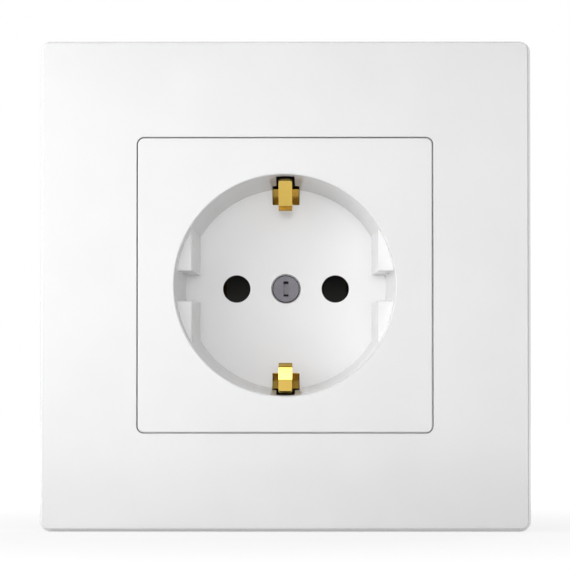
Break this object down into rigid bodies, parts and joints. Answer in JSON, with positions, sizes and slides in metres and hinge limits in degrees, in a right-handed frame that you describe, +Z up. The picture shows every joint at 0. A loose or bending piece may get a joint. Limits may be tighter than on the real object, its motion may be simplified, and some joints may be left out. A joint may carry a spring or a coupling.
{
  "type": "wall socket",
  "caption": "Flush wall socket with a square frame and centre plate, a round recess with pin holes and sprung side earth clips, a mounting strap and rear screw terminals.",
  "frame": {"origin": "midway between the two box-screw holes of the strap, on the wall's surface (the strap's rear face)", "axes": "+X to the right as seen from the room, +Y into the wall, +Z up"},
  "size_m": [0.0922, 0.0412, 0.0922],
  "materials": {
    "white_plastic": "moulded, glossy, cool white",
    "base_plastic": "moulded, dark grey, satin",
    "cover_plastic": "moulded, light grey, satin",
    "brass": "bright rolled strip",
    "zinc_steel": "zinc plated",
    "screw_steel": "dull passivated, grey",
    "spring_steel": "blued spring strip"
  },
  "bodies": {
    "root": {"cover_frame": "white_plastic", "centre_plate": "white_plastic", "centre_screw": "screw_steel", "mounting_strap": "zinc_steel", "socket_base": "base_plastic", "rear_cover": "cover_plastic", "earth_bow": "brass", "line_contact": "brass", "neutral_contact": "brass", "line_contact_spring": "spring_steel", "neutral_contact_spring": "spring_steel", "line_clamp_plate": "zinc_steel", "neutral_clamp_plate": "zinc_steel", "earth_clamp_plate": "zinc_steel", "line_terminal_screw": "screw_steel", "neutral_terminal_screw": "screw_steel", "earth_terminal_screw": "screw_steel", "rear_cover_screw_line_side": "screw_steel", "rear_cover_screw_neutral_side": "screw_steel", "strap_rivet_1": "zinc_steel", "strap_rivet_2": "zinc_steel", "strap_rivet_3": "zinc_steel", "strap_rivet_4": "zinc_steel"}
  },
  "joints": []
}
